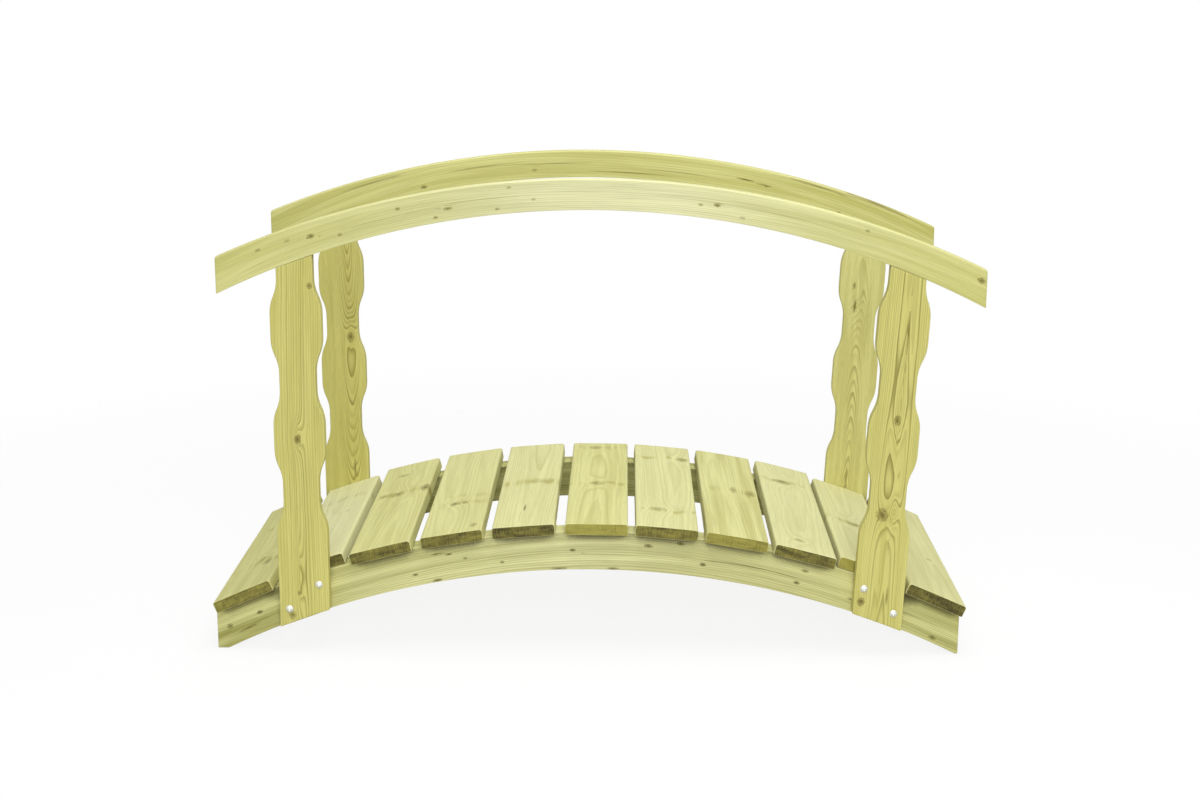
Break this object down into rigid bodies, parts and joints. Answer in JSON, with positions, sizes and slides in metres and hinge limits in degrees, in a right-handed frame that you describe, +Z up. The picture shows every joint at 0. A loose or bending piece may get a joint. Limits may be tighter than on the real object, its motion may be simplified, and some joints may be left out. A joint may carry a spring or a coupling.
{
  "type": "garden bridge",
  "caption": "Small arched garden footbridge of green-tinted impregnated pine, with a slatted deck, wavy-edged posts and curved handrails.",
  "frame": {"origin": "on the ground under the middle of the bridge", "axes": "+X along the bridge to its right end, +Y across it to the rear side, +Z up"},
  "size_m": [1.4083, 0.605, 0.8894],
  "materials": {
    "pine_bearer": "matte",
    "pine_plank": "matte",
    "pine_post": "matte",
    "pine_rail": "matte",
    "zinc_plated_steel": "satin"
  },
  "bodies": {
    "root": {"bearer_front": "pine_bearer", "handrail_front": "pine_rail", "post_front_left": "pine_post", "coach_bolt_front_left_lower": "zinc_plated_steel", "coach_bolt_front_left_upper": "zinc_plated_steel", "post_front_right": "pine_post", "coach_bolt_front_right_lower": "zinc_plated_steel", "coach_bolt_front_right_upper": "zinc_plated_steel", "bearer_rear": "pine_bearer", "handrail_rear": "pine_rail", "post_rear_left": "pine_post", "coach_bolt_rear_left_lower": "zinc_plated_steel", "coach_bolt_rear_left_upper": "zinc_plated_steel", "post_rear_right": "pine_post", "coach_bolt_rear_right_lower": "zinc_plated_steel", "coach_bolt_rear_right_upper": "zinc_plated_steel", "deck_plank_01": "pine_plank", "deck_plank_02": "pine_plank", "deck_plank_03": "pine_plank", "deck_plank_04": "pine_plank", "deck_plank_05": "pine_plank", "deck_plank_06": "pine_plank", "deck_plank_07": "pine_plank", "deck_plank_08": "pine_plank", "deck_plank_09": "pine_plank", "deck_plank_10": "pine_plank", "deck_plank_11": "pine_plank"}
  },
  "joints": []
}
